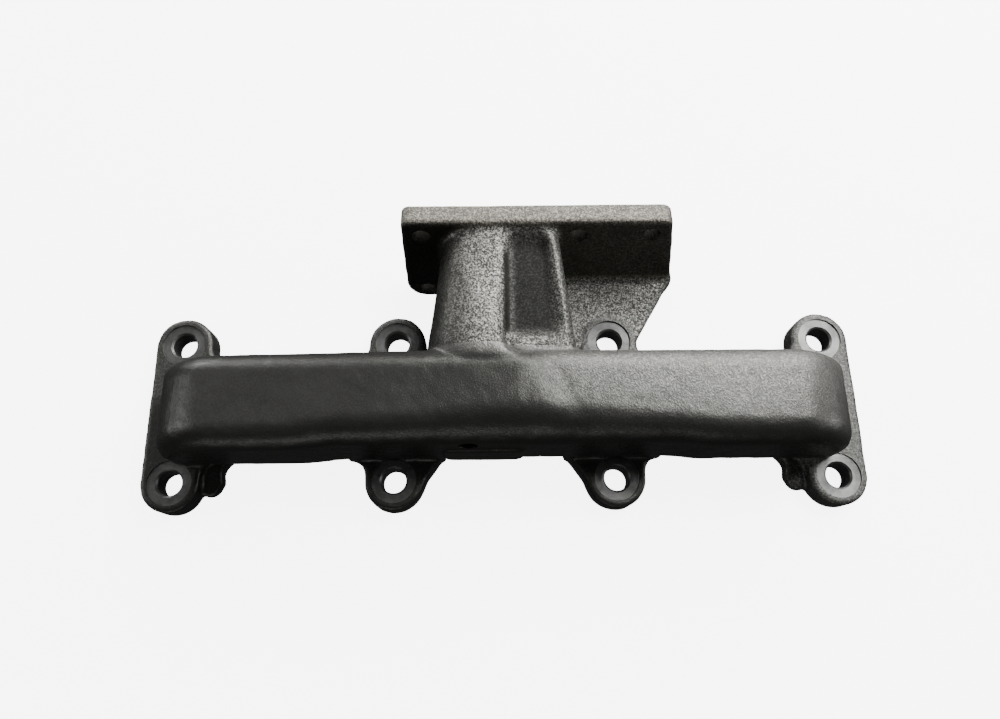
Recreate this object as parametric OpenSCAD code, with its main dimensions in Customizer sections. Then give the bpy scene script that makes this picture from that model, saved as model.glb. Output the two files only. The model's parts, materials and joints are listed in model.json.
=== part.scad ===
// Exhaust manifold for an in-line four-cylinder engine, as a sand-cast iron body.
// It lies on its four port faces: the cylinder-head face is the plane Z = 0.
// X runs along the collector, Y points up the riser to the turbo flange, and Z away from the head.
// The origin is the centre of the eight-bolt pattern on the head face.
// One casting is divided at plane faces into its functional regions, one closed solid each.

/* [Cylinder head joint] */
// Distance between neighbouring bolt columns
bolt_pitch = 105; // [100:0.5:110]
// Distance between the upper and the lower bolt row
bolt_rows = 68; // [66:0.5:70]
// Diameter of each clearance hole for an M10 bolt
bolt_hole_d = 11.5; // [10.5:0.1:12]
// Diameter of the machined seat under each bolt head
seat_d = 21; // [19:0.5:22]
// Depth of the machined seat
seat_depth = 0.8; // [0.4:0.1:1.5]
// Radius of a bolt lug's rounded end
lug_r = 13.8; // [13:0.1:14.5]
// Thickness of the port flanges and lugs
flange_t = 12; // [10:0.5:13]

/* [Gas ports] */
// Distance from the centre to an inner port
inner_port_x = 52.5; // [50:0.5:55]
// Distance from the centre to an outer port
outer_port_x = 138; // [136:0.5:140]
// Width of a port opening
port_w = 26; // [22:1:28]
// Height of a port opening
port_h = 28; // [24:1:30]
// Corner radius of a port opening
port_r = 8; // [6:0.5:10]

/* [Collector] */
// Distance from the centre to either end of the collector
collector_end = 158; // [156:0.5:160]
// Height of the collector's upper side
collector_top = 16.7; // [16:0.1:18]
// Height of the collector's under side
collector_bottom = -24.4; // [-25:0.1:-24]
// Distance from the head face to the collector's front at its ends
front_at_ends = 58; // [57:0.5:59]
// Extra depth of the collector's front at its middle
front_bulge = 3.5; // [0:0.5:4]
// Casting wall thickness
wall = 5; // [4:0.5:6]

/* [Riser and turbo flange] */
// Angle between the turbo flange and a plane square to the head face
turbo_tilt = 12; // [10:0.5:14]
// Height at which the flange's under side crosses the reference depth
turbo_height = 66.6; // [65:0.1:68]
// Thickness of the turbo flange
turbo_t = 9.5; // [9:0.5:11]
// Side-to-side distance between turbo studs
stud_spacing_x = 73; // [72:0.5:74]
// Front-to-back distance between turbo studs
stud_spacing_z = 42; // [41:0.5:43]
// Diameter of each turbo stud hole
stud_hole_d = 8.5; // [7:0.1:8.5]
// Width of the turbo gas opening
mouth_w = 44; // [40:1:46]
// Depth of the turbo gas opening
mouth_h = 30; // [26:1:32]

/* [Sensor port] */
// Diameter of the tapped hole in the under side
sensor_d = 9; // [8:0.5:10]
// Height of the pad behind it
pad_h = 1.2; // [0.5:0.1:1.6]

/* [Hidden] */
$fn = 48;
hull_fn = 32;
far = 400;
bite = 1;

// Bolt columns and port centres, from left to right
bolt_x = [-1.5 * bolt_pitch, -0.5 * bolt_pitch, 0.5 * bolt_pitch, 1.5 * bolt_pitch];
port_x = [-outer_port_x, -inner_port_x, inner_port_x, outer_port_x];
row_y = bolt_rows / 2;

// The lugs start where the flange cores end, a little beyond the collector's under side
core_y = -collector_bottom;
flange_edge_x = bolt_x[3] + lug_r;
core_half_w = 23.5;
inner_core_r = 8;
outer_core_in = 120;
outer_core_r = 12;
lobe_x = 141;
lobe_y = -33.5;
lobe_r = 6;
lobe_t = 5;
lobe_foot = 5;
flare_r = 8;
sharp = 0.01;

// Planes that part the collector along X
cut_end = 112;
cut_arm = 78;
riser_left = -35.5;
riser_right = 32.5;
collector_mid_y = (collector_top + collector_bottom) / 2;
chevron_x = 5;
front_max = front_at_ends + front_bulge;
passage_front = front_at_ends - wall;
passage_back = flange_t + wall;
end_plan_r = 28;
top_edge_r = 10;
bottom_edge_r = 12;
back_edge_r = 3;
face_corner_r = 12;
passage_r = 8;

// The riser's section narrows from the collector to the turbo flange
riser_top_y = 88;
riser_top_left = -28;
riser_top_right = 23;
riser_front = 57.5;
riser_back_low = flange_t;
riser_back_high = 6;
riser_mid_x = 0.5;
left_lobe_r = 15;
right_lobe_r = 7;
recess_left = 4.5;
recess_right = 22;
recess_low = 24;
recess_high = 69;
recess_depth = 4.5;
recess_r = 4;
duct_low_front = 50;
duct_high_front = 44;
duct_high_back = 16;
duct_high_clear = 1;
section_t = 0.1;

// The turbo flange is drawn in its own plane: x stays X and y runs from the head face to the front
turbo_ref_z = 20;
turbo_mid_x = -1.6;
stud_back = -11.2;
stud_front = stud_back + stud_spacing_z;
mouth_mid = 10;
turbo_back = -18;
turbo_front = 40.9;
turbo_front_left = -46;
turbo_front_right = 76.3;
turbo_back_left = -48;
turbo_back_right = 84.6;
turbo_back_r = 11.5;
turbo_corner_r = 4;
bracket_hole_x = 69;
mouth_r = 8;

// Support web between the third flange and the turbo flange
web_back = 5;
web_low_y = collector_top;
web_right_x = 84.6;
web_right_y = 65;
web_high_front = 19;
web_overrun = 10;
web_beside_riser = 24.9;

// Low pad on the under side of the collector, and the sensor port in front of it
pad_left = -28;
pad_right = 8;
pad_front = 36;
pad_back_r = 2;
pad_front_r = 4;
sensor_x = -16.7;
sensor_z = 43;

// ---- shared outlines ----

// A rectangle with a rounded corner of its own radius at each of its four corners
module rounded_rect(low, high, r_low_left, r_low_right, r_high_right, r_high_left) {
    difference() {
        translate(low) square(high - low);
        corner_waste([low[0], low[1]], [0, 0], r_low_left);
        corner_waste([high[0], low[1]], [1, 0], r_low_right);
        corner_waste([high[0], high[1]], [1, 1], r_high_right);
        corner_waste([low[0], high[1]], [0, 1], r_high_left);
    }
}

// What a rounded corner removes from a square one
module corner_waste(corner, flip, r) {
    translate(corner)
    mirror([flip[0], 0])
    mirror([0, flip[1]])
    difference() {
        translate([-bite, -bite]) square(r + bite);
        translate([r, r]) circle(r);
    }
}

// Carries a Y-Z outline along X
module along_x(x0, x1) {
    translate([x0, 0, 0])
    rotate([90, 0, 90])
    linear_extrude(x1 - x0)
    children();
}

// Carries an X-Z outline along Y
module along_y(y0, y1) {
    translate([0, y1, 0])
    rotate([90, 0, 0])
    linear_extrude(y1 - y0)
    children();
}

// Carries an X-Y outline along Z
module along_z(z0, z1) {
    translate([0, 0, z0])
    linear_extrude(z1 - z0)
    children();
}

// Puts a shape in the turbo flange's plane, with z pointing out of its under side
module on_turbo_plane() {
    translate([0, turbo_height, turbo_ref_z])
    rotate([90 - turbo_tilt, 0, 0])
    children();
}

// Everything on the collector's side of the turbo flange
module below_turbo_flange() {
    on_turbo_plane()
    translate([-far / 2, -far / 2, 0])
    cube([far, far, far]);
}

// ---- cylinder head flanges ----

// Front view of one lug: a round end on a neck that starts at the flange core. side is 1 or -1
module lug_outline(i, side) {
    difference() {
        union() {
            translate([bolt_x[i], side * row_y]) circle(lug_r);
            translate([bolt_x[i] - lug_r, side > 0 ? core_y : -row_y])
            square([2 * lug_r, row_y - core_y]);
        }
        flange_core_outline(i);
    }
}

// Concave flares where a lower lug of an inner flange meets the collector
module lug_flares(i) {
    half = lug_r + flare_r;
    translate([bolt_x[i], 0])
    difference() {
        translate([-half, -core_y - flare_r]) square([2 * half, flare_r]);
        translate([-half, -core_y - flare_r]) circle(flare_r);
        translate([half, -core_y - flare_r]) circle(flare_r);
    }
}

// Thin inboard lobe beside a lower end lug
module end_lobe(i) {
    s = i == 0 ? -1 : 1;
    difference() {
        union() {
            translate([s * lobe_x, lobe_y]) circle(lobe_r);
            translate([s > 0 ? lobe_x - lobe_r : -bolt_x[3], lobe_y])
            square([bolt_x[3] - lobe_x + lobe_r, -core_y - lobe_y]);
            translate([s > 0 ? lobe_x - lobe_r - lobe_foot : -lobe_x, -core_y - lobe_foot])
            square([lobe_r + lobe_foot, lobe_foot]);
        }
        translate([s * (lobe_x - lobe_r - lobe_foot), -core_y - lobe_foot]) circle(lobe_foot);
    }
}

// The flange between its two lugs, behind the collector
module flange_core_outline(i) {
    if (i == 1 || i == 2) {
        rounded_rect([bolt_x[i] - core_half_w, -core_y], [bolt_x[i] + core_half_w, core_y],
            sharp, sharp, inner_core_r, inner_core_r);
    } else {
        mirror([i == 0 ? 1 : 0, 0])
        rounded_rect([outer_core_in, -core_y], [flange_edge_x, core_y],
            outer_core_r, sharp, sharp, outer_core_r);
    }
}

module port_opening(i, z0, z1) {
    low = [port_x[i] - port_w / 2, collector_mid_y - port_h / 2];
    along_z(z0, z1)
    rounded_rect(low, low + [port_w, port_h], port_r, port_r, port_r, port_r);
}

module port_flange(i) {
    color([0.24, 0.24, 0.23])
    difference() {
        along_z(0, flange_t) flange_core_outline(i);
        port_opening(i, -bite, flange_t + bite);
        bolt_seat(i, 1);
        bolt_seat(i, -1);
    }
}

// The machined seat under a bolt head
module bolt_seat(i, side) {
    translate([bolt_x[i], side * row_y, flange_t - seat_depth])
    cylinder(d = seat_d, h = seat_depth + bite);
}

module bolt_hole(i, side) {
    translate([bolt_x[i], side * row_y, -bite])
    cylinder(d = bolt_hole_d, h = flange_t + 2 * bite);
}

module bolt_lug(i, side) {
    color([0.27, 0.27, 0.26])
    difference() {
        union() {
            along_z(0, flange_t) lug_outline(i, side);
            if (side < 0 && (i == 1 || i == 2)) along_z(0, flange_t) lug_flares(i);
            if (side < 0 && (i == 0 || i == 3)) along_z(0, lobe_t) end_lobe(i);
        }
        bolt_hole(i, side);
        bolt_seat(i, side);
    }
}

// ---- collector ----

// Outer shape of the collector; its upper front edge is rounded by edge_r
module collector_outer(edge_r) {
    intersection() {
        along_x(-collector_end, collector_end)
        rounded_rect([collector_bottom, flange_t], [collector_top, front_max],
            back_edge_r, back_edge_r, edge_r, bottom_edge_r);
        along_y(collector_bottom, collector_top)
        collector_plan();
        along_z(flange_t, front_max)
        rounded_rect([-collector_end, collector_bottom], [collector_end, collector_top],
            face_corner_r, face_corner_r, face_corner_r, face_corner_r);
    }
}

// Plan of the collector: round front corners and a front that stands out a little at its middle
module collector_plan() {
    intersection() {
        rounded_rect([-collector_end, flange_t], [collector_end, front_max],
            sharp, sharp, end_plan_r, end_plan_r);
        polygon([
            [-collector_end, flange_t],
            [collector_end, flange_t],
            [collector_end, front_at_ends],
            [chevron_x, front_max],
            [-collector_end, front_at_ends]
        ]);
    }
}

module collector_passage() {
    intersection() {
        along_x(wall - collector_end, collector_end - wall)
        rounded_rect([collector_bottom + wall, passage_back], [collector_top - wall, passage_front],
            passage_r, passage_r, passage_r, passage_r);
        along_y(collector_bottom, collector_top)
        rounded_rect([wall - collector_end, passage_back], [collector_end - wall, passage_front],
            port_r, port_r, end_plan_r - wall, end_plan_r - wall);
    }
}

// One length of the collector, from x0 to x1
module collector_part(x0, x1, edge_r = top_edge_r) {
    color([0.22, 0.22, 0.21])
    difference() {
        intersection() {
            collector_outer(edge_r);
            translate([x0, -far / 2, 0]) cube([x1 - x0, far, far]);
        }
        collector_passage();
        for (i = [0:3]) port_opening(i, flange_t - bite, passage_back + bite);
        riser_duct();
        sensor_hole();
    }
}

// ---- riser ----

module riser_section(y, x0, x1, z0, z1, r_left, r_right) {
    along_y(y, y + section_t)
    rounded_rect([x0, z0], [x1, z1], back_edge_r, back_edge_r, r_right, r_left, $fn = hull_fn);
}

module riser_outer() {
    intersection() {
        hull() {
            riser_section(collector_top - section_t, riser_left, riser_right,
                riser_back_low, riser_front, left_lobe_r, right_lobe_r);
            riser_section(riser_top_y, riser_top_left, riser_top_right,
                riser_back_high, riser_front, left_lobe_r, right_lobe_r);
        }
        translate([-far / 2, collector_top, 0]) cube([far, far, far]);
        below_turbo_flange();
    }
}

module riser_duct() {
    hull() {
        riser_section(collector_top - wall - passage_r, riser_left + wall, riser_right - wall,
            passage_back, duct_low_front, passage_r, passage_r);
        riser_section(riser_top_y, turbo_mid_x - mouth_w / 2 + duct_high_clear,
            turbo_mid_x + mouth_w / 2 - duct_high_clear,
            duct_high_back, duct_high_front, passage_r, passage_r);
    }
}

// Shallow panel in the riser's right front
module riser_recess() {
    along_z(riser_front - recess_depth, riser_front + bite)
    rounded_rect([recess_left, recess_low], [recess_right, recess_high],
        recess_r, recess_r, recess_r, recess_r);
}

module riser_half(x0, x1) {
    color([0.26, 0.25, 0.24])
    difference() {
        intersection() {
            riser_outer();
            translate([x0, 0, 0]) cube([x1 - x0, far, far]);
        }
        riser_duct();
        riser_recess();
        for (i = [1, 2]) along_z(-bite, flange_t) flange_core_outline(i);
    }
}

// ---- turbo flange ----

module turbo_corner(x, y, r) {
    translate([x, y]) circle(r, $fn = hull_fn);
}

module turbo_outline() {
    hull() {
        turbo_corner(turbo_back_left + turbo_back_r, turbo_back + turbo_back_r, turbo_back_r);
        turbo_corner(turbo_back_right - turbo_back_r, turbo_back + turbo_back_r, turbo_back_r);
        turbo_corner(turbo_front_right - turbo_corner_r, turbo_front - turbo_corner_r,
            turbo_corner_r);
        turbo_corner(turbo_front_left + turbo_corner_r, turbo_front - turbo_corner_r,
            turbo_corner_r);
    }
}

module stud_hole(x, y) {
    translate([x, y, -turbo_t - bite]) cylinder(d = stud_hole_d, h = turbo_t + 2 * bite);
}

module turbo_flange() {
    color([0.45, 0.44, 0.41])
    on_turbo_plane()
    difference() {
        translate([0, 0, -turbo_t]) linear_extrude(turbo_t) turbo_outline();
        for (side = [-1, 1]) {
            stud_hole(turbo_mid_x + side * stud_spacing_x / 2, stud_back);
            stud_hole(turbo_mid_x + side * stud_spacing_x / 2, stud_front);
        }
        stud_hole(bracket_hole_x, stud_front);
        translate([0, 0, -turbo_t - bite])
        linear_extrude(turbo_t + 2 * bite)
        rounded_rect([turbo_mid_x - mouth_w / 2, mouth_mid - mouth_h / 2],
            [turbo_mid_x + mouth_w / 2, mouth_mid + mouth_h / 2],
            mouth_r, mouth_r, mouth_r, mouth_r);
    }
}

// ---- support web ----

module web_outline() {
    difference() {
        polygon([
            [riser_right, web_low_y],
            [bolt_x[2] + lug_r, web_low_y],
            [bolt_x[2] + lug_r, row_y],
            [web_right_x, web_right_y],
            [web_right_x, turbo_height + web_overrun],
            [web_beside_riser, turbo_height + web_overrun]
        ]);
        lug_outline(2, 1);
        flange_core_outline(2);
    }
}

module support_web() {
    color([0.26, 0.25, 0.24])
    difference() {
        intersection() {
            along_z(web_back, web_high_front) web_outline();
            along_x(0, far)
            polygon([
                [web_low_y, web_back],
                [turbo_height + web_overrun, web_back],
                [turbo_height + web_overrun, web_high_front],
                [turbo_height, web_high_front],
                [row_y, flange_t],
                [web_low_y, flange_t]
            ]);
            below_turbo_flange();
        }
        riser_outer();
        bolt_seat(2, 1);
    }
}

// ---- under side ----

module sensor_hole() {
    translate([sensor_x, collector_bottom + wall + bite, sensor_z])
    rotate([90, 0, 0])
    cylinder(d = sensor_d, h = wall + 2 * bite);
}

module underside_pad() {
    color([0.24, 0.24, 0.23])
    along_y(collector_bottom - pad_h, collector_bottom)
    rounded_rect([pad_left, flange_t + back_edge_r], [pad_right, pad_front],
        pad_back_r, pad_back_r, pad_front_r, pad_front_r);
}

port_flange(0);  // port_flange_1
port_flange(1);  // port_flange_2
port_flange(2);  // port_flange_3
port_flange(3);  // port_flange_4
bolt_lug(0, 1);  // bolt_lug_1_upper
bolt_lug(1, 1);  // bolt_lug_2_upper
bolt_lug(2, 1);  // bolt_lug_3_upper
bolt_lug(3, 1);  // bolt_lug_4_upper
bolt_lug(0, -1);  // bolt_lug_1_lower
bolt_lug(1, -1);  // bolt_lug_2_lower
bolt_lug(2, -1);  // bolt_lug_3_lower
bolt_lug(3, -1);  // bolt_lug_4_lower
collector_part(-collector_end, -cut_end);  // collector_end_left
collector_part(-cut_end, -cut_arm);  // collector_arm_left
collector_part(-cut_arm, riser_left);  // collector_port_2
collector_part(riser_left, riser_mid_x, back_edge_r);  // collector_centre_left
collector_part(riser_mid_x, riser_right, back_edge_r);  // collector_centre_right
collector_part(riser_right, cut_arm);  // collector_port_3
collector_part(cut_arm, cut_end);  // collector_arm_right
collector_part(cut_end, collector_end);  // collector_end_right
riser_half(riser_left, riser_mid_x);  // riser_left_half
riser_half(riser_mid_x, riser_right);  // riser_right_half
turbo_flange();
support_web();
underside_pad();
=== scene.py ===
"""Cast-iron exhaust manifold: the looks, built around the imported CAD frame.

The casting's surface is a signed distance field. Its main sizes come from the frame's own boxes and
mounts, and every junction has a foundry fillet. The field is turned into one mesh, machined with crisp
cutters, and parted at plane faces into one closed piece for each CAD node. Sizes are in millimetres, and
meshes, lights, camera and floor are put into the scene in metres.
"""

import json
import math

import bpy
import numpy as np
import openvdb
from mathutils import Matrix, Vector


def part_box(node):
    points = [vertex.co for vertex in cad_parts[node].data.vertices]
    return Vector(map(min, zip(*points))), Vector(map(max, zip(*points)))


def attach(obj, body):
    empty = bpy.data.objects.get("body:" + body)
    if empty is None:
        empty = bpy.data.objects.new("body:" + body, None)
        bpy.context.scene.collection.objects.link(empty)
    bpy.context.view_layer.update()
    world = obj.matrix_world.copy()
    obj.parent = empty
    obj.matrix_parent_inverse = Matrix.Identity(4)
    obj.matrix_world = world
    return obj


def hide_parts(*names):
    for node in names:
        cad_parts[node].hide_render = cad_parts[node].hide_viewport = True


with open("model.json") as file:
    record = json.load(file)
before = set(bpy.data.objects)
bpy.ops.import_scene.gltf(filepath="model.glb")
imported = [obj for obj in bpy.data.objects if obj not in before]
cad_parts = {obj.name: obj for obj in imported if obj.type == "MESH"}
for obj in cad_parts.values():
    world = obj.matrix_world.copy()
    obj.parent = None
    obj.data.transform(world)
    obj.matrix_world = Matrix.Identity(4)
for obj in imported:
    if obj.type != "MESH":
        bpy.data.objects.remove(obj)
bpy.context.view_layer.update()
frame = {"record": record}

# ---------------------------------------------------------------- sizes, from the frame

MM = 0.001
record = frame["record"]
mounts = {m["name"]: m for m in record["mounts"]}


def box_mm(node):
    low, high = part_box(node)
    return np.array(low) / MM, np.array(high) / MM


def mount_mm(name):
    return np.array(mounts[name]["pos_m"]) / MM


outer_bolts = mounts["head_bolts_outer"]["dims"]
inner_bolts = mounts["head_bolts_inner"]["dims"]
BOLT_X = [-outer_bolts["spacing_x_mm"] / 2, -inner_bolts["spacing_x_mm"] / 2,
          inner_bolts["spacing_x_mm"] / 2, outer_bolts["spacing_x_mm"] / 2]
ROW_Y = outer_bolts["spacing_y_mm"] / 2
HOLE_R = outer_bolts["hole_r_mm"]
SEAT_R = 10.5
SEAT_DEPTH = 0.8

lug_low, lug_high = box_mm("bolt_lug_2_upper")
LUG_R = (lug_high[0] - lug_low[0]) / 2
FLANGE_T = lug_high[2]
CORE_Y = lug_low[1]

left_low, _ = box_mm("collector_end_left")
_, right_high = box_mm("collector_end_right")
centre_low, _ = box_mm("collector_centre_left")
_, centre_high = box_mm("collector_centre_right")
END_X = right_high[0]
BOTTOM_Y = left_low[1]
TOP_Y = right_high[1]
FRONT_MID = centre_high[2]
FRONT_BULGE = 3.5
CHEVRON_X = 5
WALL = 5

RISER_LEFT = centre_low[0]
RISER_RIGHT = centre_high[0]
RISER_MID = box_mm("riser_left_half")[1][0]
RISER_TOP_Y = 88

turbo_normal = np.array(mounts["turbo_face"]["axis"])
TILT = math.asin(-turbo_normal[2])
STUD_R = mounts["bracket_hole"]["dims"]["r_mm"]
TURBO_T = mounts["bracket_hole"]["dims"]["length_mm"]
FACE_POINT = mount_mm("turbo_face")
UNDER_POINT = FACE_POINT - turbo_normal * TURBO_T
ALONG = np.array([0, math.sin(TILT), math.cos(TILT)])
PLATE_V_FRONT = (box_mm("turbo_flange")[1][2] - UNDER_POINT[2]) / math.cos(TILT)
PLATE_DEPTH = 58.9
STUD_SPOTS = [mount_mm(name) for name in mounts
              if name.startswith("turbo_stud") or name == "bracket_hole"]

# ---------------------------------------------------------------- distance field tools

STEP = 1.0
GRID_LOW = np.array([-176.0, -53.0, -5.0])
GRID_HIGH = np.array([176.0, 92.0, 68.0])
COUNT = np.ceil((GRID_HIGH - GRID_LOW) / STEP).astype(int) + 1
axis_values = [(GRID_LOW[a] + STEP * np.arange(COUNT[a])).astype(np.float32) for a in range(3)]
X = axis_values[0][:, None, None]
Y = axis_values[1][None, :, None]
Z = axis_values[2][None, None, :]


def unite(a, b, r):
    """Union whose inner corner is a round fillet of radius r."""
    return np.maximum(np.minimum(a, b), r) - np.hypot(np.maximum(r - a, 0), np.maximum(r - b, 0))


def meet(a, b, r):
    """Intersection whose outer edge is rounded to radius r."""
    return np.minimum(np.maximum(a, b), -r) + np.hypot(np.maximum(r + a, 0), np.maximum(r + b, 0))


def subtract(a, b, r):
    """a without b, its new edge rounded to radius r."""
    return meet(a, -b, r)


def ramp(v, zero, one):
    """0 up to v = zero, 1 from v = one on, and a smooth step between. one may be the smaller value."""
    t = np.clip((v - zero) / (one - zero), 0, 1)
    return t * t * (3 - 2 * t)


def circle(cx, cy, r):
    return np.hypot(X - cx, Y - cy) - r


def slab(v, low, high):
    """Distance to the layer of v between low and high."""
    return np.maximum(low - v, v - high)


def rect(u, v, low, high, r):
    """Rectangle in two coordinates with corners of radius r."""
    return meet(slab(u, low[0], high[0]), slab(v, low[1], high[1]), r)


NEARLY_SHARP = 0.1


def strip(x0, x1, y0, y1):
    """Plan rectangle between two x and two y values, each pair in any order."""
    return rect(X, Y, [min(x0, x1), min(y0, y1)], [max(x0, x1), max(y0, y1)], NEARLY_SHARP)


def lattice_noise(cell, seed):
    """Smooth random values from -1 to 1 over the grid, with lumps about one cell wide."""
    size = np.ceil((GRID_HIGH - GRID_LOW) / cell).astype(int) + 3
    table = np.random.default_rng(seed).uniform(-1, 1, size).astype(np.float32)
    for axis in range(3):
        t = (axis_values[axis] - GRID_LOW[axis]) / cell
        i = t.astype(int)
        shape = [1, 1, 1]
        shape[axis] = -1
        f = ramp(t - i, 0, 1).astype(np.float32).reshape(shape)
        table = np.take(table, i, axis) * (1 - f) + np.take(table, i + 1, axis) * f
    return table


# ---------------------------------------------------------------- flanges and lugs

CORE_RISE = 1.5
CORE_CORNER_R = 8
END_CORE_CORNER_R = 10
LUG_FILLET = 9
FLANGE_EDGE_R = 1.8

FLANK_NORMAL = (0.813, -0.582)
FLANK_POINT = (24.7, -25.8)
FLANK_INSET = 3.3
FLANK_DEPTH = 7
FLANK_FILLET = 2

LOBE_X = 141
LOBE_Y = -33.5
LOBE_R = 6
LOBE_FILLET = 2
LOBE_HEIGHT = 6
LOBE_SLOPE = 0.25
LOBE_LOW_Y = -33
FOOT_INSET = 2.5
FOOT_FILLET = 7


def inner_flank(bx, inward):
    """Plan of the straight slanted flank on the side of a lower lug that looks to the middle."""
    u = inward * (X - bx)
    slant = FLANK_NORMAL[0] * (u - FLANK_POINT[0]) + FLANK_NORMAL[1] * (Y - FLANK_POINT[1])
    flank = np.maximum(slant + FLANK_INSET, -u)
    return np.maximum(flank, slab(Y, -ROW_Y - FLANK_DEPTH, 0))


def end_lobe(bx, s, lug):
    """The low lobe beside an end flange's lower lug, with the foot that joins it to the collector."""
    lobe_x = s * LOBE_X
    low, high = box_mm(lug)
    foot_x = (low[0] if s > 0 else high[0]) + s * FOOT_INSET
    plan = unite(circle(lobe_x, LOBE_Y, LOBE_R), strip(lobe_x - s * LOBE_R, bx, LOBE_Y, 0), LOBE_FILLET)
    plan = unite(plan, strip(foot_x, bx, BOTTOM_Y + CORE_RISE, 0), FOOT_FILLET)
    top = LOBE_HEIGHT + LOBE_SLOPE * (Y - LOBE_LOW_Y)
    return meet(plan, Z - top, LOBE_FILLET)


def one_flange(i, bx):
    """Port flange i with its two lugs. The end flanges stop square at their lugs."""
    end = i in (0, 3)
    s = -1 if i == 0 else 1
    core_low, core_high = box_mm(f"port_flange_{i + 1}")
    corner_r = END_CORE_CORNER_R if end else CORE_CORNER_R
    plan = meet(slab(X, core_low[0], core_high[0]), Y - core_high[1], corner_r)
    plan = np.maximum(plan, core_low[1] + CORE_RISE - Y)
    for side in (1, -1):
        lug = np.minimum(circle(bx, side * ROW_Y, LUG_R), strip(bx - LUG_R, bx + LUG_R, 0, side * ROW_Y))
        plan = unite(plan, lug, LUG_FILLET)
    if not end:
        plan = unite(plan, inner_flank(bx, -math.copysign(1, bx)), FLANK_FILLET)
        return meet(plan, Z - FLANGE_T, FLANGE_EDGE_R)
    plan = np.maximum(plan, s * X - (abs(bx) + LUG_R))
    plate = meet(plan, Z - FLANGE_T, FLANGE_EDGE_R)
    return unite(plate, end_lobe(bx, s, f"bolt_lug_{i + 1}_lower"), 1.5)


def flange_field():
    return np.minimum.reduce([one_flange(i, bx) for i, bx in enumerate(BOLT_X)])


# ---------------------------------------------------------------- collector, riser, turbo flange, web

FRONT_INSET = 1.4
SWELL = 1.5
SHOULDER_R = 28
END_DRAFT = 0.08
LONG_EDGE_R = 11
END_TOP_SHARPER = 6
END_BOTTOM_SHARPER = 5
BELLY_ROUNDER = 6
ARM_SAG = 1.7
BACK_GAP = 0.35

LOBE_EDGE_R = 12
LOBE_LEAN = 2.6
FLARE = 9
RIDGE_NORMAL = (0.94, 0.34)
RIDGE_X = 1.6
RIDGE_Z = 50
PANEL_DEPTH = 4.2
PANEL_RIM = 6.2


def front_height():
    """Height of the collector's front face: a slight chevron, swollen below the riser's left lobe."""
    slope = FRONT_BULGE * (1 - np.abs(X - CHEVRON_X) / (END_X + CHEVRON_X))
    base = FRONT_MID - FRONT_BULGE + slope - FRONT_INSET
    across = (X - 4) + 0.6 * (Y - TOP_Y)
    return base + SWELL * ramp(across, 12, -5) * ramp(X, -120, -30)


def collector_field():
    """The long hollow body, from outside. Its under side drops a little along the arms."""
    side = np.abs(X) - END_X + END_DRAFT * (Z - FLANGE_T)
    body = meet(side, Z - front_height(), SHOULDER_R)
    end_corner = ramp(np.abs(X), 128, 152) * ramp(Z, 50, 26)
    body = meet(body, Y - TOP_Y, LONG_EDGE_R - END_TOP_SHARPER * end_corner)
    belly = np.exp(-((X - 8) / 55) ** 2)
    bottom = BOTTOM_Y - ARM_SAG * ramp(np.abs(X), 72, 94)
    bottom_r = LONG_EDGE_R + BELLY_ROUNDER * belly - END_BOTTOM_SHARPER * end_corner
    body = meet(body, bottom - Y, bottom_r)
    return meet(body, FLANGE_T + BACK_GAP - Z, 3)


def riser_lobe(left):
    """The riser's swollen left lobe. Its right flank is a ridge that flares out above the collector."""
    crown = 3.4 * ((X + 8) / 19) ** 2
    sunk = 3 * ramp(Y, TOP_Y - 4, TOP_Y - 12)
    front = front_height() - 0.2 - LOBE_LEAN * ramp(Y, TOP_Y, TOP_Y + 30) - crown - sunk
    lobe = meet(left - X, Z - front, LOBE_EDGE_R)
    flare = FLARE * ramp(Y, TOP_Y + 7, TOP_Y - 7) ** 2
    ridge = RIDGE_NORMAL[0] * (X - RIDGE_X - flare) + RIDGE_NORMAL[1] * (Z - RIDGE_Z)
    return meet(lobe, ridge, 4)


def riser_block(right, rise):
    """The riser's right half, with its sunk panel."""
    front = 53 + 4 * ramp(rise, 0, 1)
    block = meet(X - right, Z - front, 6)
    block = np.maximum(block, -4 - X)
    panel = meet(meet(2 - X, X - (right - PANEL_RIM), 5), slab(Y, 24.5, 70), 6)
    return subtract(block, meet(panel, front - PANEL_DEPTH - Z, 3.6), 4.4)


def riser_field():
    rise = (Y - TOP_Y) / (68 - TOP_Y)
    narrowing = 0.3 + 6.3 * rise
    back = FLANGE_T - 6 * (Y - TOP_Y) / (RISER_TOP_Y - TOP_Y)
    body = unite(riser_lobe(RISER_LEFT + narrowing), riser_block(RISER_RIGHT - narrowing, rise), 1.4)
    body = meet(body, back - Z, 3)
    return np.maximum(body, TOP_Y - 12 - Y)


def turbo_plane():
    """Coordinates in the turbo flange: d out of its under side, v from the head face to the front."""
    d = -((Y - UNDER_POINT[1]) * turbo_normal[1] + (Z - UNDER_POINT[2]) * turbo_normal[2])
    v = (Y - UNDER_POINT[1]) * ALONG[1] + (Z - UNDER_POINT[2]) * ALONG[2]
    return d, v


def turbo_field(d, v):
    """The turbo flange before its gasket face is machined. It is narrower at the front."""
    back_r, front_r = 11, 4
    plate_low, plate_high = box_mm("turbo_flange")
    v_back = PLATE_V_FRONT - PLATE_DEPTH
    t = (v - v_back) / PLATE_DEPTH
    left = plate_low[0] - 0.5 + 1.6 * t
    right = plate_high[0] + 2.3 - 9.4 * t
    back = meet(meet(left - X, v_back - v, back_r), X - right, back_r)
    front = meet(meet(left - X, v - PLATE_V_FRONT, front_r), X - right, front_r)
    plate = meet(np.maximum(back, front), d, 1.6)
    return meet(plate, -TURBO_T - 1.5 - d, 1.0)


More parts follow.
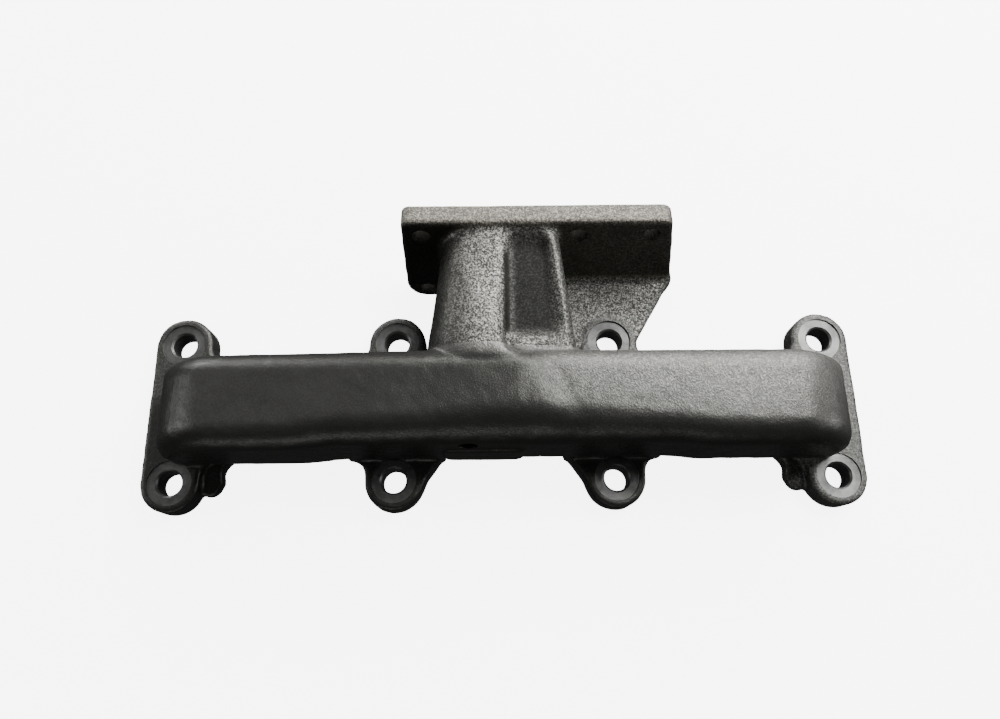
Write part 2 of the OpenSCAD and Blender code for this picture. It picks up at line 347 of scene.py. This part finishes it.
def web_field():
    """Support web between the third flange and the turbo flange."""
    web_low, web_high = box_mm("support_web")
    corner = np.array([web_high[0], 65.0])
    foot = np.array([BOLT_X[2] + LUG_R, ROW_Y])
    along = (corner - foot) / np.linalg.norm(corner - foot)
    slant = (X - foot[0]) * along[1] - (Y - foot[1]) * along[0]
    plan = np.maximum(slant, slab(X, 15, web_high[0]))
    plan = np.maximum(plan, 5 - Y)
    front = FLANGE_T + 7 * ramp(Y, ROW_Y + 8, ROW_Y + 46)
    web = meet(plan, Z - front, 1.8)
    return meet(web, web_low[2] - Z, 1.5)


PORT_HALF = (13, 14)
PORT_CORNER_R = 8
DUCT_LEFT, DUCT_RIGHT, DUCT_FRONT = -30, 27, 45
DUCT_TAPER_LEFT, DUCT_TAPER_RIGHT = 7.4, 7.6


def passages_field():
    """Everything that the gas flows through."""
    back = FLANGE_T + WALL
    body = meet(np.abs(X) - (END_X - WALL), Z - (FRONT_MID - FRONT_BULGE - WALL), SHOULDER_R - WALL)
    body = meet(body, slab(Y, BOTTOM_Y + WALL, TOP_Y - WALL), 8)
    hollow = meet(body, back - Z, 8)
    for port in record["physics"]["openings"]:
        if port["name"].startswith("exhaust_port"):
            low, high = np.array(port["box_m"]) / MM
            mid = ((low + high) / 2)[:2]
            hole = rect(X, Y, mid - PORT_HALF, mid + PORT_HALF, PORT_CORNER_R)
            hollow = unite(hollow, np.maximum(hole, Z - back - 6), 4)
    rise = (Y - TOP_Y) / (RISER_TOP_Y - TOP_Y)
    duct_low = [DUCT_LEFT + DUCT_TAPER_LEFT * rise, back - rise]
    duct_high = [DUCT_RIGHT - DUCT_TAPER_RIGHT * rise, DUCT_FRONT - rise]
    duct = np.maximum(rect(X, Z, duct_low, duct_high, 8), TOP_Y - WALL - 4 - Y)
    return unite(hollow, duct, 5)


def skin_roughness():
    """The unevenness of a sand casting, in three sizes: grain, ripple and slow waviness."""
    return 0.10 * lattice_noise(2.6, 11) + 0.12 * lattice_noise(6, 12) + 0.22 * lattice_noise(24, 13)


def casting_field():
    d, v = turbo_plane()
    field = unite(flange_field(), np.maximum(web_field(), -d), 0.8)
    field = unite(field, collector_field(), 3.2)
    # The riser's fillet is fine where it lies flush with the collector's front, and wide beside the ridge.
    below = front_height() - Z
    fillet = 0.9 + 2.6 * ramp(below, 3, 13)
    fillet = fillet + 4.5 * ramp(X, 0.5, 4.5) * ramp(X, 16, 8) * ramp(below, 1, 5)
    field = unite(field, np.maximum(riser_field(), -d - 4), fillet)
    field = unite(field, turbo_field(d, v), 3.0)
    pad_low, pad_high = box_mm("underside_pad")
    pad = meet(rect(X, Z, pad_low[[0, 2]], pad_high[[0, 2]], 4), pad_low[1] - Y, 0.8)
    field = unite(field, np.maximum(pad, Y), 0.8)
    field = subtract(field, passages_field(), 1.0)
    return (field + skin_roughness()).astype(np.float32)


def field_mesh(field):
    """The zero surface of the field, as points in metres and quads."""
    band = 3 * STEP
    grid = openvdb.FloatGrid(band)
    grid.copyFromArray(np.clip(field, -band, band))
    points, quads = grid.convertToQuads(isovalue=0.0)
    return (points * STEP + GRID_LOW) * MM, quads


# ---------------------------------------------------------------- solids and Booleans


def link_mesh(name, mesh):
    obj = bpy.data.objects.new(name, mesh)
    bpy.context.scene.collection.objects.link(obj)
    return obj


def mesh_object(name, points, faces):
    mesh = bpy.data.meshes.new(name)
    mesh.from_pydata(points.tolist(), [], faces.tolist())
    mesh.validate()
    return link_mesh(name, mesh)


def lathe(profile, place):
    """Points and faces of a closed solid turned about the local z axis, from (radius, height) pairs."""
    segments = 64
    points, faces = [], []
    for r, h in profile:
        for k in range(segments):
            a = 2 * math.pi * k / segments
            points.append(place @ Vector((r * math.cos(a), r * math.sin(a), h)))
    for ring in range(len(profile) - 1):
        low, high = ring * segments, (ring + 1) * segments
        for k in range(segments):
            n = (k + 1) % segments
            faces.append((low + k, low + n, high + n, high + k))
    last = (len(profile) - 1) * segments
    faces.append(tuple(range(segments))[::-1])
    faces.append(tuple(range(last, last + segments)))
    return points, faces


def prism(outline, low, high, place=Matrix.Identity(4)):
    """Points and faces of a closed solid with a plan outline and flat ends."""
    n = len(outline)
    points = [place @ Vector((x, y, h)) for h in (low, high) for x, y in outline]
    faces = [tuple(range(n))[::-1], tuple(range(n, 2 * n))]
    faces += [(k, (k + 1) % n, n + (k + 1) % n, n + k) for k in range(n)]
    return points, faces


def rectangle(x0, y0, x1, y1):
    return [(x0, y0), (x1, y0), (x1, y1), (x0, y1)]


def box_solid(low, high):
    return prism(rectangle(low[0], low[1], high[0], high[1]), low[2], high[2])


def solid_object(name, solid):
    """Mesh object, in metres, from a solid given in millimetres."""
    points, faces = solid
    mesh = bpy.data.meshes.new(name)
    mesh.from_pydata([tuple(v * MM for v in p) for p in points], [], faces)
    return link_mesh(name, mesh)


def carve(obj, tool, operation):
    """The mesh of obj after a Boolean with tool. obj itself is left alone."""
    modifier = obj.modifiers.new("carve", "BOOLEAN")
    modifier.operation = operation
    modifier.solver = "MANIFOLD"
    modifier.object = tool
    bpy.context.view_layer.update()
    graph = bpy.context.evaluated_depsgraph_get()
    mesh = bpy.data.meshes.new_from_object(obj.evaluated_get(graph))
    obj.modifiers.remove(modifier)
    return mesh


# ---------------------------------------------------------------- machining

BORE_CHAMFER = 0.9
SEAT_DRAFT = 0.3
PAST = 400


def turbo_place(x, v):
    """Placement with its origin on the gasket face, and local z from there out of the under side."""
    out = Vector(-turbo_normal)
    up = Vector(ALONG)
    side = up.cross(out)
    origin = Vector((x, 0, 0)) + Vector(tuple(FACE_POINT * [0, 1, 1])) + up * v
    rotation = Matrix((side, up, out)).transposed().to_4x4()
    return Matrix.Translation(origin) @ rotation


def bolt_tool(bx, y):
    """Clearance hole, its small chamfer and the machined seat above it."""
    seat = FLANGE_T - SEAT_DEPTH
    profile = [(HOLE_R, -9), (HOLE_R, seat - BORE_CHAMFER), (HOLE_R + BORE_CHAMFER, seat),
               (SEAT_R, seat), (SEAT_R + SEAT_DRAFT, seat + 3.5)]
    return lathe(profile, Matrix.Translation((bx, y, 0)))


def stud_tool(spot):
    v = float((spot - FACE_POINT) @ ALONG)
    return lathe([(STUD_R, -2), (STUD_R, TURBO_T + 6)], turbo_place(float(spot[0]), v))


def sensor_tool():
    r = mounts["sensor_port"]["dims"]["r_mm"]
    place = Matrix.Translation(mount_mm("sensor_port")) @ Matrix.Rotation(math.pi / 2, 4, "X")
    return lathe([(r, -5), (r, 12)], place)


def machining_tools():
    """Everything that a machine tool takes off the raw casting, as closed solids."""
    tools = [bolt_tool(bx, side * ROW_Y) for bx in BOLT_X for side in (1, -1)]
    tools.append(box_solid([-190, -60, -20], [190, 100, 0]))
    tools += [stud_tool(spot) for spot in STUD_SPOTS]
    tools.append(prism(rectangle(-120, -80, 120, 80), -12, 0, turbo_place(0, 0)))
    tools.append(sensor_tool())
    return tools


# ---------------------------------------------------------------- parting

SPLIT_Z = FLANGE_T + 1.2
BELOW_CORE = 0.8
LUG_MARGIN = 4
FLARE_REACH = 17
BACK_Z = -10
RUNS = ["collector_end_left", "collector_arm_left", "collector_port_2", "collector_centre_left",
        "collector_centre_right", "collector_port_3", "collector_arm_right"]


def lug_zones(i, bx):
    """The zones of column i's two lugs. The third upper lug is cut out of the web by an arch."""
    low, high = box_mm(f"bolt_lug_{i + 1}_lower")
    under = -CORE_Y - BELOW_CORE - (ARM_SAG if i in (0, 3) else 0)
    lower = box_solid([low[0] - LUG_MARGIN, -80, BACK_Z], [high[0] + LUG_MARGIN, under, 45])
    yield f"bolt_lug_{i + 1}_lower", lower
    if i == 2:
        turns = [math.pi * k / 32 for k in range(33)]
        arch = [(bx + LUG_R * math.cos(t), ROW_Y + LUG_R * math.sin(t)) for t in turns]
        upper = prism(arch + [(bx - LUG_R, CORE_Y), (bx + LUG_R, CORE_Y)], BACK_Z, 22)
    else:
        beside_riser = RISER_LEFT - bx - 0.6
        reach = max(beside_riser, LUG_R) if i == 1 else LUG_R + FLARE_REACH
        upper = box_solid([bx - LUG_R - FLARE_REACH, CORE_Y, BACK_Z], [bx + reach, 80, SPLIT_Z])
    yield f"bolt_lug_{i + 1}_upper", upper


def zones():
    """Node name and the closed solid that parts it from what is left of the casting, in cutting order.

    The riser's right zone starts 1 mm before its left zone ends, so that no sliver stays between them.
    """
    plate = prism(rectangle(-PAST, -PAST, PAST, PAST), -PAST, TURBO_T + 0.7, turbo_place(0, 0))
    yield "turbo_flange", plate
    low, high = box_mm("underside_pad")
    pad_high = [high[0] + 1.5, BOTTOM_Y - 0.3, high[2] + 1.5]
    yield "underside_pad", box_solid([low[0] - 1.5, -60, SPLIT_Z], pad_high)
    for i, bx in enumerate(BOLT_X):
        yield from lug_zones(i, bx)
    for i in range(len(BOLT_X)):
        low, high = box_mm(f"port_flange_{i + 1}")
        flange = box_solid([low[0] - 9, -80, BACK_Z], [high[0] + 9, CORE_Y, SPLIT_Z])
        yield f"port_flange_{i + 1}", flange
    side = RISER_RIGHT + 0.8
    web = [(side, TOP_Y + 4), (120, TOP_Y + 4), (120, 120), (side - 8, 120), (side - 8, 71)]
    yield "support_web", prism(web, BACK_Z, 34)
    base = TOP_Y + 0.9
    yield "riser_left_half", box_solid([-60, base, BACK_Z], [RISER_MID, 120, 90])
    yield "riser_right_half", box_solid([RISER_MID - 1, base, BACK_Z], [60, 120, 90])
    for name in RUNS:
        yield name, box_solid([-PAST, -PAST, -PAST], [box_mm(name)[1][0], PAST, PAST])


def part_casting(casting):
    """One closed piece for each CAD node, cut from the machined casting at plane faces."""
    pieces = {}
    rest = casting
    for node, solid in zones():
        tool = solid_object("zone", solid)
        piece = bpy.data.objects.new("cast_" + node, carve(rest, tool, "INTERSECT"))
        rest.data = carve(rest, tool, "DIFFERENCE")
        bpy.data.objects.remove(tool)
        pieces[node] = piece
    rest.name = "cast_collector_end_right"
    pieces["collector_end_right"] = rest
    for node, piece in pieces.items():
        if piece is not rest:
            bpy.context.scene.collection.objects.link(piece)
        piece.data.name = piece.name
        piece.data.shade_smooth()
        piece.data.set_sharp_from_angle(angle=math.radians(40))
        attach(piece, "root")
        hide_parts(node)
    return pieces


casting = mesh_object("casting", *field_mesh(casting_field()))
for tool_solid in machining_tools():
    tool = solid_object("tool", tool_solid)
    casting.data = carve(casting, tool, "DIFFERENCE")
    bpy.data.objects.remove(tool)
pieces = part_casting(casting)

# ---------------------------------------------------------------- surface regions


def corners(mesh):
    """The mesh's points in millimetres, one row each."""
    flat = np.empty(len(mesh.vertices) * 3, np.float32)
    mesh.vertices.foreach_get("co", flat)
    return flat.reshape(-1, 3) / MM


def polygon_data(mesh):
    """Centres in millimetres and normals of the mesh's polygons."""
    centre = np.empty(len(mesh.polygons) * 3, np.float32)
    normal = np.empty(len(mesh.polygons) * 3, np.float32)
    mesh.polygons.foreach_get("center", centre)
    mesh.polygons.foreach_get("normal", normal)
    return centre.reshape(-1, 3) / MM, normal.reshape(-1, 3)


def plate_coordinates(points):
    """Distance out of the turbo flange's under side, and height along it."""
    offset = points - UNDER_POINT
    return -(offset @ turbo_normal), offset @ ALONG


def bolt_distance(points):
    """Distance from each point to the axis of its nearest head bolt."""
    x, y = points[:, 0], points[:, 1]
    return np.min([np.hypot(x - bx, y - side * ROW_Y) for bx in BOLT_X for side in (1, -1)], axis=0)


def panel_depth(points):
    """1 on the floor of the riser's sunk panel, falling to 0 at its rim."""
    x, y, z = points.T
    right = 23.5 - 0.06 * (y - TOP_Y)
    inside = np.minimum(np.minimum(x - 3.5, right - x), np.minimum(y - 25.5, 69.0 - y))
    return ramp(inside, -2.5, 2.5) * (z > 40)


LOG_SMOOTH, LOG_RIGHT_GRAIN_AND_LIGHT, LOG_TOP_PAINTED_LIGHT = 0.07, 0.12, 0.4
LOBE_SHADED, LOBE_LIT, BLOCK_GRAIN = 0.16, 1.0, 0.52
GROOVE_PAINTED_SHADE, WEB_GRAIN, PANEL_GRAIN = 0.05, 0.55, 0.12
LUG_GRAIN, RIGHT_LUG_PAINTED_LIGHT, UPPER_LUG_MORE = 0.1, 0.45, 0.2
UNDERSIDE_GRAIN, BAND_GRAIN_AND_HIGHLIGHT = 0.08, 1.0


def grain_and_painted_light(points):
    """How coarse and bright the sand grain is at each point, from 0 to 1, region over region. Painted
    light and shade are laid in as more or less grain: the log's right arm and top, the riser lobe's shaded
    left and lit ridge, the groove, the right lugs and the turbo flange's front band.
    """
    x, y, z = points.T
    d, v = plate_coordinates(points)

    def lay(below, grain, cover):
        return below + (grain - below) * cover

    # Painted light: the log's right arm is made lighter, partly its grain and partly light from the right,
    # and lighter again towards the top, as light from above.
    right_arm = ramp(x + 0.6 * (y - TOP_Y), 2, 28) * ramp(y, -24, -12)
    value = LOG_SMOOTH + right_arm * (LOG_RIGHT_GRAIN_AND_LIGHT + LOG_TOP_PAINTED_LIGHT * ramp(y, -16, 26))
    riser = ramp(y, TOP_Y - 6, TOP_Y + 2) * ramp(z, 16, 26)
    riser = riser * ramp(x, RISER_LEFT - 12, RISER_LEFT - 3) * ramp(x, RISER_RIGHT + 12, RISER_RIGHT + 3)
    front = LOBE_SHADED + (LOBE_LIT - LOBE_SHADED) * ramp(x, -31, -2)
    front = lay(front, BLOCK_GRAIN, ramp(x, -1.5, 0.5))
    value = lay(value, front, riser)
    # Painted shade: the groove beside the riser's ridge is made dark.
    groove = ramp(x, -0.6, 0.6) * ramp(x, 3.6, 2.0) * ramp(y, 22, 26) * ramp(y, 66, 60)
    value = lay(value, GROOVE_PAINTED_SHADE, groove * riser)
    web = ramp(y, TOP_Y + 1, TOP_Y + 5) * (x > 28) * (z < 34)
    value = lay(value, WEB_GRAIN, web)
    value = lay(value, PANEL_GRAIN, panel_depth(points))
    flange = (z < FLANGE_T + 1.5) & (np.abs(y) > 10) | (np.abs(x) > END_X + 0.5)
    # Painted light: the right lugs are made lighter, where the light falls from the right.
    lug_grain_and_light = LUG_GRAIN + RIGHT_LUG_PAINTED_LIGHT * ramp(x, 100, 140) + UPPER_LUG_MORE * ramp(y, 0, 10)
    value = lay(value, lug_grain_and_light, flange * (1 - web))
    # The turbo flange's front band is made light: partly its grain, partly a painted highlight from the
    # light above.
    front_band = ramp(v, PLATE_V_FRONT - 4, PLATE_V_FRONT - 1)
    plate_grain_and_highlight = UNDERSIDE_GRAIN + (BAND_GRAIN_AND_HIGHLIGHT - UNDERSIDE_GRAIN) * front_band
    value = lay(value, plate_grain_and_highlight, ramp(d, 1, -1))
    return np.clip(value, 0, 1)


def bore_shade_and_dullness(points):
    """1 in the stud bores, less in the riser's sunk panel, 0 elsewhere. In the bores it is painted shade:
    the colour goes dark and the shine is taken off.
    """
    d, _ = plate_coordinates(points)
    value = 0.75 * panel_depth(points)
    for spot in STUD_SPOTS:
        away = np.linalg.norm(np.cross(points - spot, turbo_normal), axis=1)
        value = np.maximum(value, (away < STUD_R + 0.1) & (d < 1.0))
    return value


def machined_faces(centre, normal):
    """True for each polygon that a tool has cut, apart from the stud bores and the sensor hole."""
    z, normal_z = centre[:, 2], normal[:, 2]
    d, _ = plate_coordinates(centre)
    on_plane = 0.05
    head = (np.abs(z) < on_plane) & (normal_z < -0.9)
    gasket = (np.abs(d + TURBO_T) < on_plane) & (normal @ turbo_normal > 0.95)
    ring = bolt_distance(centre)
    above_seat = z - (FLANGE_T - SEAT_DEPTH)
    bore = (ring < HOLE_R + BORE_CHAMFER + 0.05) & (above_seat < -0.02)
    seat = (ring < SEAT_R) & (np.abs(above_seat) < on_plane)
    upright = (np.abs(normal_z) < 0.2) & (above_seat > 0) & (above_seat < 3)
    rim = (np.abs(ring - SEAT_R - 0.1) < 0.25) & upright
    return head | gasket | bore | seat | rim


# ---------------------------------------------------------------- materials

GRAIN_SCALE = 1250
PATCH_SCALE = 42
STAIN_SCALE = 130
TOOL_LINE_SCALE = 1500
TOOL_RING_PITCH = 0.45


def make_material(name, metallic):
    material = bpy.data.materials.new(name)
    material.use_nodes = True
    tree = material.node_tree
    shader = tree.nodes["Principled BSDF"]
    shader.inputs["Metallic"].default_value = metallic
    return material, tree, shader


def add_noise(tree, vector, scale, detail, roughness=0.6):
    node = tree.nodes.new("ShaderNodeTexNoise")
    node.inputs["Scale"].default_value = scale
    node.inputs["Detail"].default_value = detail
    node.inputs["Roughness"].default_value = roughness
    tree.links.new(vector, node.inputs["Vector"])
    return node.outputs["Fac"]


def remap(tree, value, low, high, to_low=0.0, to_high=1.0):
    node = tree.nodes.new("ShaderNodeMapRange")
    ends = (("From Min", low), ("From Max", high), ("To Min", to_low), ("To Max", to_high))
    for name, number in ends:
        node.inputs[name].default_value = number
    tree.links.new(value, node.inputs["Value"])
    return node.outputs["Result"]


def calculate(tree, operation, a, b):
    """A math node; b is a socket or a number."""
    node = tree.nodes.new("ShaderNodeMath")
    node.operation = operation
    tree.links.new(a, node.inputs[0])
    if isinstance(b, (int, float)):
        node.inputs[1].default_value = b
    else:
        tree.links.new(b, node.inputs[1])
    return node.outputs["Value"]


def blend_colours(tree, factor, a, b):
    """Mix of two colours, each a socket or an RGB tuple."""
    node = tree.nodes.new("ShaderNodeMix")
    node.data_type = "RGBA"
    tree.links.new(factor, node.inputs["Factor"])
    for value, socket in ((a, node.inputs["A"]), (b, node.inputs["B"])):
        if isinstance(value, tuple):
            socket.default_value = (*value, 1)
        else:
            tree.links.new(value, socket)
    return node.outputs["Result"]


def add_bump(tree, height, strength, distance):
    node = tree.nodes.new("ShaderNodeBump")
    node.inputs["Strength"].default_value = strength
    node.inputs["Distance"].default_value = distance
    tree.links.new(height, node.inputs["Height"])
    return node.outputs["Normal"]


def object_coordinates(tree):
    return tree.nodes.new("ShaderNodeTexCoord").outputs["Object"]


def read_attribute(tree, name):
    node = tree.nodes.new("ShaderNodeAttribute")
    node.attribute_name = name
    return node.outputs["Fac"]


def scaled(colour, factor):
    return tuple(factor * c for c in colour)


def cast_iron(name, matrix, grain, even):
    """As-cast iron: bright sand grains over a dark skin, more of them where the casting is coarse and
    where painted light is laid in as extra grain.

    even is how much of the grain colour also covers the skin between the grains.
    """
    metallic = 0.7
    material, tree, shader = make_material(name, metallic)
    place = object_coordinates(tree)
    grain_and_light = read_attribute(tree, "grain_and_light")
    bore_shade_and_dull = read_attribute(tree, "bore_shade_and_dull")
    fine = add_noise(tree, place, GRAIN_SCALE, 3, 0.65)
    lumps = add_noise(tree, place, GRAIN_SCALE * 0.5, 2)
    patches = add_noise(tree, place, PATCH_SCALE, 4)
    fine_part = calculate(tree, "MULTIPLY", fine, 0.7)
    speck = calculate(tree, "ADD", fine_part, calculate(tree, "MULTIPLY", lumps, 0.3))

    bright = remap(tree, speck, 0.45, 0.66, even, 1.0)
    cover = calculate(tree, "MULTIPLY", bright, grain_and_light)
    skin = blend_colours(tree, remap(tree, patches, 0.3, 0.7), matrix, scaled(matrix, 1.5))
    colour = blend_colours(tree, cover, skin, grain)
    pits = remap(tree, lumps, 0.2, 0.3, 0.75, 1.0)
    dark = scaled(matrix, 0.3)
    colour = blend_colours(tree, pits, dark, colour)
    # Painted shade: the stud bores are blended towards dark; the riser's sunk panel is made darker too.
    colour = blend_colours(tree, calculate(tree, "MULTIPLY", bore_shade_and_dull, 0.7), colour, dark)
    tree.links.new(colour, shader.inputs["Base Color"])
    tree.links.new(remap(tree, bore_shade_and_dull, 0, 1, metallic, 0.0), shader.inputs["Metallic"])
    tree.links.new(remap(tree, bore_shade_and_dull, 0, 1, 0.5, 0.05), shader.inputs["Specular IOR Level"])

    rough = remap(tree, grain_and_light, 0, 1, 0.38, 0.56)
    rough = calculate(tree, "ADD", rough, remap(tree, speck, 0.35, 0.65, 0.06, -0.06))
    rough = calculate(tree, "ADD", rough, calculate(tree, "MULTIPLY", bore_shade_and_dull, 0.4))
    tree.links.new(rough, shader.inputs["Roughness"])
    height = calculate(tree, "MULTIPLY", speck, remap(tree, grain_and_light, 0, 1, 0.25, 1.0))
    tree.links.new(add_bump(tree, height, 0.8, 0.0006), shader.inputs["Normal"])
    return material


def machined_iron():
    """Cut iron: smoother, with faint rings around each bolt hole and straight marks elsewhere."""
    metallic = 0.85
    material, tree, shader = make_material("machined_iron", metallic)
    place = object_coordinates(tree)
    ring = read_attribute(tree, "ring")
    bore_shade_and_dull = read_attribute(tree, "bore_shade_and_dull")
    stretch = tree.nodes.new("ShaderNodeMapping")
    stretch.inputs["Scale"].default_value = (0.04, 1, 1)
    tree.links.new(place, stretch.inputs["Vector"])
    lines = add_noise(tree, stretch.outputs["Vector"], TOOL_LINE_SCALE, 2)
    turns = calculate(tree, "MULTIPLY", ring, 2 * math.pi / TOOL_RING_PITCH)
    rings = calculate(tree, "SINE", turns, 0)
    marks = calculate(tree, "ADD", lines, calculate(tree, "MULTIPLY", rings, 0.25))

    stain = remap(tree, add_noise(tree, place, STAIN_SCALE, 3), 0.35, 0.7)
    colour = blend_colours(tree, stain, (0.08, 0.08, 0.078), (0.16, 0.16, 0.155))
    # Painted shade: machined faces at the stud bores' rims go nearly black.
    colour = blend_colours(tree, bore_shade_and_dull, colour, (0.004, 0.004, 0.004))
    tree.links.new(colour, shader.inputs["Base Color"])
    tree.links.new(remap(tree, bore_shade_and_dull, 0, 1, metallic, 0.0), shader.inputs["Metallic"])
    tree.links.new(remap(tree, bore_shade_and_dull, 0, 1, 0.5, 0.0), shader.inputs["Specular IOR Level"])
    tree.links.new(remap(tree, marks, 0.2, 0.9, 0.34, 0.46), shader.inputs["Roughness"])
    tree.links.new(add_bump(tree, marks, 0.25, 0.0002), shader.inputs["Normal"])
    return material


def set_attribute(mesh, name, values):
    layer = mesh.attributes.new(name, "FLOAT", "POINT")
    layer.data.foreach_set("value", np.ascontiguousarray(values, np.float32))


GREY_SKIN = (0.022, 0.022, 0.020)
RISER_SKIN = (0.018, 0.018, 0.016)
TURBO_SKIN = (0.03, 0.029, 0.025)
CAST = {
    "collector_iron": cast_iron("collector_cast_iron", GREY_SKIN, (0.42, 0.41, 0.385), 0.42),
    "flange_iron": cast_iron("flange_cast_iron", GREY_SKIN, (0.28, 0.275, 0.26), 0.2),
    "riser_iron": cast_iron("riser_cast_iron", RISER_SKIN, (0.54, 0.53, 0.49), 0.05),
    "turbo_flange_iron": cast_iron("turbo_flange_cast_iron", TURBO_SKIN, (0.36, 0.34, 0.29), 0.2),
}
MACHINED = machined_iron()
slots = {row["node"]: row["material_slot"] for row in record["subparts"]}

for node, piece in pieces.items():
    mesh = piece.data
    points = corners(mesh)
    set_attribute(mesh, "grain_and_light", grain_and_painted_light(points))
    set_attribute(mesh, "bore_shade_and_dull", bore_shade_and_dullness(points))
    set_attribute(mesh, "ring", bolt_distance(points))
    mesh.materials.clear()
    mesh.materials.append(CAST[slots[node]])
    mesh.materials.append(MACHINED)
    cut = machined_faces(*polygon_data(mesh))
    mesh.polygons.foreach_set("material_index", cut.astype(np.int32))

# ---------------------------------------------------------------- camera, light, floor


def place_camera():
    """The photograph's camera, from a fit to the eight bolt holes."""
    data = bpy.data.cameras.new("camera")
    data.lens = 27.9
    data.sensor_width = 36
    obj = bpy.data.objects.new("camera", data)
    bpy.context.scene.collection.objects.link(obj)
    right = Vector((0.99988, -0.01336, 0.00759))
    up = Vector((0.01041, 0.95233, 0.30492))
    back = right.cross(up).normalized()
    up = back.cross(right).normalized()
    turn = Matrix((right, up, back)).transposed().to_4x4()
    obj.matrix_world = Matrix.Translation(Vector((-6.1, -91.4, 375.5)) * MM) @ turn
    bpy.context.scene.camera = obj


def area(name, pos, size, power):
    """A rectangular light that looks at the middle of the casting."""
    data = bpy.data.lights.new(name, "AREA")
    data.shape = "RECTANGLE"
    data.size, data.size_y = size
    data.energy = power
    obj = bpy.data.objects.new(name, data)
    obj.location = pos
    aim = Vector((0, 0.01, 0.03)) - Vector(pos)
    obj.rotation_euler = aim.to_track_quat("-Z", "Y").to_euler()
    bpy.context.scene.collection.objects.link(obj)


def make_lights():
    area("key", (0.5, 0.36, 0.88), (0.35, 0.35), 12)
    area("top_strip", (0.3, 0.8, 0.58), (1.0, 0.3), 13)
    area("fill", (-0.5, 0.15, 0.9), (0.5, 0.5), 0.6)
    area("low_front", (-0.2, -0.9, 0.06), (0.9, 0.1), 1.4)
    area("left_edge", (-0.9, 0.05, 0.3), (0.3, 0.4), 2.0)
    area("right_edge", (0.9, -0.05, 0.25), (0.3, 0.4), 2.5)
    area("back_left", (-0.7, 0.9, 0.25), (0.5, 0.4), 7)
    area("back_right", (0.6, 1.0, 0.15), (0.5, 0.3), 5)
    world = bpy.data.worlds.new("world")
    world.use_nodes = True
    background = world.node_tree.nodes["Background"]
    background.inputs["Color"].default_value = (1, 1, 1, 1)
    background.inputs["Strength"].default_value = 0.04
    bpy.context.scene.world = world


FLOOR_R = 2.0
BEND_R = 1.0
DOME_R = FLOOR_R + BEND_R
DOME_RISE = 2.0
BEND_STEPS = 12


def floor_profile():
    """Radius and height in metres: the flat floor, a round bend, and the dome above it."""
    profile = [(0.02, 0), (FLOOR_R, 0)]
    for a in np.linspace(0.1, math.pi / 2, BEND_STEPS):
        profile.append((FLOOR_R + BEND_R * math.sin(a), BEND_R - BEND_R * math.cos(a)))
    for a in np.linspace(0.1, 1.5, BEND_STEPS):
        profile.append((DOME_R * math.cos(a), BEND_R + DOME_RISE * math.sin(a)))
    return profile


def make_floor():
    """Pale floor under the head face that curves up into a dome. It throws no light on the casting."""
    profile = [(r / MM, h / MM) for r, h in floor_profile()]
    floor = solid_object("floor", lathe(profile, Matrix.Identity(4)))
    material, _, shader = make_material("pale_floor", 0)
    shader.inputs["Base Color"].default_value = (0.9, 0.9, 0.9, 1)
    shader.inputs["Roughness"].default_value = 0.9
    shader.inputs["Emission Color"].default_value = (1, 1, 1, 1)
    shader.inputs["Emission Strength"].default_value = 6.0
    floor.data.materials.append(material)
    floor.data.shade_smooth()
    floor.visible_diffuse = False
    floor.visible_glossy = False
    floor.visible_shadow = False


place_camera()
make_lights()
make_floor()
